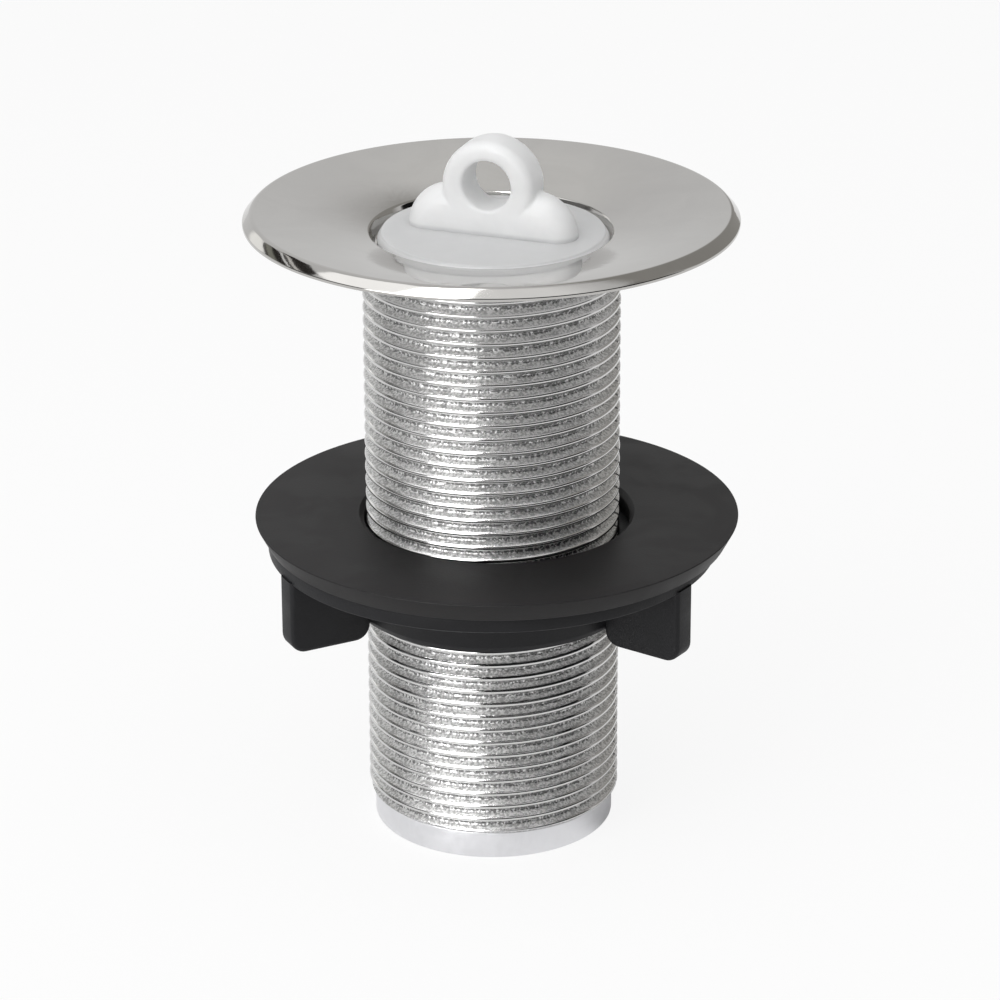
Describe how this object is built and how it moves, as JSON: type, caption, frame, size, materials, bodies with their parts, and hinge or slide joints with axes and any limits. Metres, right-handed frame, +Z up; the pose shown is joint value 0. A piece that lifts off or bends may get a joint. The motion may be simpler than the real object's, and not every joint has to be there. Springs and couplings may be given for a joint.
{
  "type": "basin waste",
  "caption": "Basin waste with a dished chrome flange and threaded tail, a lift-out plug with a ring, a backing washer and a winged back nut.",
  "frame": {"origin": "centre of the tail's open bottom end", "axes": "+Z up the drain towards the flange, +X to the right and +Y away from the viewer when the plug's handle is seen nearly face on"},
  "size_m": [0.0806, 0.08, 0.1183],
  "materials": {
    "chrome_plate": "bright polished chrome on the flange, rough as-cast chrome on the thread",
    "clear_white_plastic": "translucent natural polythene with a soft sheen",
    "black_rubber": "satin black rubber",
    "black_plastic": "black moulded plastic with a fine grain"
  },
  "bodies": {
    "waste_body": {"waste_body": "chrome_plate"},
    "plug": {"plug": "clear_white_plastic"},
    "backing_washer": {"backing_washer": "black_rubber"},
    "winged_back_nut": {"winged_back_nut": "black_plastic"}
  },
  "joints": [
    {"name": "plug_lift", "type": "slide", "parent": "waste_body", "child": "plug", "axis": [0, 0, 1], "range_m": [0, 0.06]},
    {"name": "washer_slide", "type": "slide", "parent": "waste_body", "child": "backing_washer", "axis": [0, 0, 1], "range_m": [-0.03, 0.045]},
    {"name": "nut_turn", "type": "hinge", "parent": "backing_washer", "child": "winged_back_nut", "pos_m": [0, 0, 0.0483], "axis": [0, 0, 1], "range_deg": [-4680, 7020]}
  ],
  "couplings": [
    {"joint": "nut_turn", "follows": "washer_slide", "rad_per_m": 2721.2}
  ]
}
